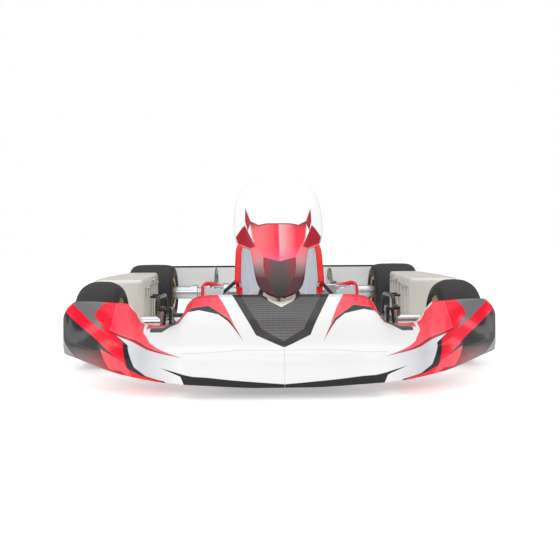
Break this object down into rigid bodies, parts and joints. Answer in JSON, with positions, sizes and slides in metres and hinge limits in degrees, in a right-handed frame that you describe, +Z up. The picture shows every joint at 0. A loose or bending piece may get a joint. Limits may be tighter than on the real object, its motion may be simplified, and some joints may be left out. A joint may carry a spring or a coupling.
{
  "type": "kart chassis",
  "caption": "Rolling racing kart chassis: tube frame, steering, pedals, disc brake, rear axle, slick wheels, moulded seat and full bodywork.",
  "frame": {"origin": "middle of the whole kart's box, on the ground under the tyres", "axes": "+Z up; the kart faces -Y; +X is the driver's left"},
  "size_m": [1.4, 1.82, 0.6006],
  "materials": {
    "frame_paint": "satin black",
    "steel": "machined",
    "dark_steel": "black oxide",
    "alloy": "machined",
    "gold_alloy": "gold anodised",
    "disc_iron": "ground",
    "slick": "matt",
    "fairing_gloss": "gloss printed film",
    "panel_gloss": "gloss printed film",
    "pod_plastic": "cream moulded",
    "bumper_plastic": "white moulded",
    "seat_resin": "glass fibre gelcoat",
    "red_trim": "gloss red",
    "grip_cover": "suede",
    "tray_alloy": "brushed sheet",
    "tank_plastic": "translucent moulded",
    "black_plastic": "fine texture",
    "nylon": "natural nylon"
  },
  "bodies": {
    "chassis": {"axle_bearings": "steel", "bearing_carriers": "alloy", "brake_caliper": "gold_alloy", "bumper_mounts": "frame_paint", "column_bushes": "nylon", "column_support": "frame_paint", "engine_plate": "alloy", "engine_rail": "frame_paint", "fasteners": "steel", "floor_tray": "tray_alloy", "front_cross_tube": "frame_paint", "front_fairing": "fairing_gloss", "front_hoop": "frame_paint", "front_lower_bar": "frame_paint", "front_upper_bar": "frame_paint", "fuel_tank": "tank_plastic", "kingpin_bolts": "steel", "kingpin_yokes": "frame_paint", "master_cylinder": "gold_alloy", "number_panel": "panel_gloss", "panel_bracket": "frame_paint", "pedal_brackets": "dark_steel", "rail_left": "frame_paint", "rail_right": "frame_paint", "rear_bumper": "bumper_plastic", "rear_cross_tube": "frame_paint", "return_springs": "steel", "seat_cross_tube": "frame_paint", "seat_shell": "seat_resin", "seat_stays": "frame_paint", "seat_trim": "red_trim", "side_bars": "frame_paint", "side_pod_left": "pod_plastic", "side_pod_right": "pod_plastic"},
    "steering": {"steering_column": "steel", "steering_boss": "alloy", "steering_wheel": "grip_cover"},
    "knuckle_left": {"stub_axle_left": "dark_steel"},
    "knuckle_right": {"stub_axle_right": "dark_steel"},
    "tie_rod_left_body": {"tie_rod_left": "steel"},
    "tie_rod_right_body": {"tie_rod_right": "steel"},
    "front_wheel_left": {"front_hub_left": "alloy", "front_rim_left": "gold_alloy", "front_tyre_left": "slick"},
    "front_wheel_right": {"front_hub_right": "alloy", "front_rim_right": "gold_alloy", "front_tyre_right": "slick"},
    "rear_axle_body": {"rear_axle": "steel", "rear_hubs": "alloy", "rear_rims": "gold_alloy", "rear_tyres": "slick", "sprocket": "alloy", "brake_disc": "disc_iron", "axle_carriers": "alloy"},
    "throttle": {"throttle_pedal": "red_trim"},
    "brake": {"brake_pedal": "red_trim"},
    "pushrod": {"brake_pushrod": "steel"},
    "pad_outer": {"brake_pad_outer": "dark_steel"},
    "pad_inner": {"brake_pad_inner": "dark_steel"},
    "cap": {"fuel_cap": "black_plastic"}
  },
  "joints": [
    {"name": "steering_turn", "type": "hinge", "parent": "chassis", "child": "steering", "pos_m": [0, -0.462, 0.076], "axis": [0, 0.669, 0.7433], "range_deg": [-45, 45]},
    {"name": "kingpin_left", "type": "hinge", "parent": "chassis", "child": "knuckle_left", "pos_m": [0.375, -0.44, 0.129], "axis": [-0.1392, 0.0691, 0.9879], "range_deg": [-23, 23]},
    {"name": "kingpin_right", "type": "hinge", "parent": "chassis", "child": "knuckle_right", "pos_m": [-0.375, -0.44, 0.129], "axis": [0.1392, 0.0691, 0.9879], "range_deg": [-23, 23]},
    {"name": "tie_rod_left_pivot", "type": "hinge", "parent": "knuckle_left", "child": "tie_rod_left_body", "pos_m": [0.355, -0.34, 0.107], "axis": [-0.1392, 0.0691, 0.9879], "range_deg": [-25, 25]},
    {"name": "tie_rod_right_pivot", "type": "hinge", "parent": "knuckle_right", "child": "tie_rod_right_body", "pos_m": [-0.355, -0.34, 0.107], "axis": [0.1392, 0.0691, 0.9879], "range_deg": [-25, 25]},
    {"name": "front_wheel_left_spin", "type": "hinge", "parent": "knuckle_left", "child": "front_wheel_left", "pos_m": [0.557, -0.44, 0.129], "axis": [1, 0, 0], "continuous": true},
    {"name": "front_wheel_right_spin", "type": "hinge", "parent": "knuckle_right", "child": "front_wheel_right", "pos_m": [-0.557, -0.44, 0.129], "axis": [1, 0, 0], "continuous": true},
    {"name": "rear_axle_spin", "type": "hinge", "parent": "chassis", "child": "rear_axle_body", "pos_m": [0, 0.61, 0.139], "axis": [1, 0, 0], "continuous": true},
    {"name": "throttle_press", "type": "hinge", "parent": "chassis", "child": "throttle", "pos_m": [-0.208, -0.56, 0.078], "axis": [1, 0, 0], "range_deg": [0, 20], "stiffness_Nm_per_rad": 3, "springref_deg": -14.32},
    {"name": "brake_press", "type": "hinge", "parent": "chassis", "child": "brake", "pos_m": [0.208, -0.56, 0.078], "axis": [1, 0, 0], "range_deg": [0, 10], "stiffness_Nm_per_rad": 6, "springref_deg": -11.46},
    {"name": "pushrod_slide", "type": "slide", "parent": "chassis", "child": "pushrod", "axis": [0, -1, 0], "range_m": [0, 0.0095]},
    {"name": "pad_outer_slide", "type": "slide", "parent": "chassis", "child": "pad_outer", "axis": [-1, 0, 0], "range_m": [0, 0.0009]},
    {"name": "pad_inner_slide", "type": "slide", "parent": "chassis", "child": "pad_inner", "axis": [1, 0, 0], "range_m": [0, 0.0009]},
    {"name": "cap_turn", "type": "hinge", "parent": "chassis", "child": "cap", "pos_m": [-0.04, -0.2, 0.205], "axis": [0, 0, 1], "range_deg": [0, 180]}
  ],
  "couplings": [
    {"joint": "kingpin_left", "follows": "steering_turn", "ratio": 0.5},
    {"joint": "kingpin_right", "follows": "steering_turn", "ratio": 0.5},
    {"joint": "tie_rod_left_pivot", "follows": "steering_turn", "ratio": -0.545},
    {"joint": "tie_rod_right_pivot", "follows": "steering_turn", "ratio": -0.545},
    {"joint": "pushrod_slide", "follows": "brake_press", "m_per_rad": 0.052},
    {"joint": "pad_outer_slide", "follows": "brake_press", "m_per_rad": 0.005},
    {"joint": "pad_inner_slide", "follows": "brake_press", "m_per_rad": 0.005}
  ]
}
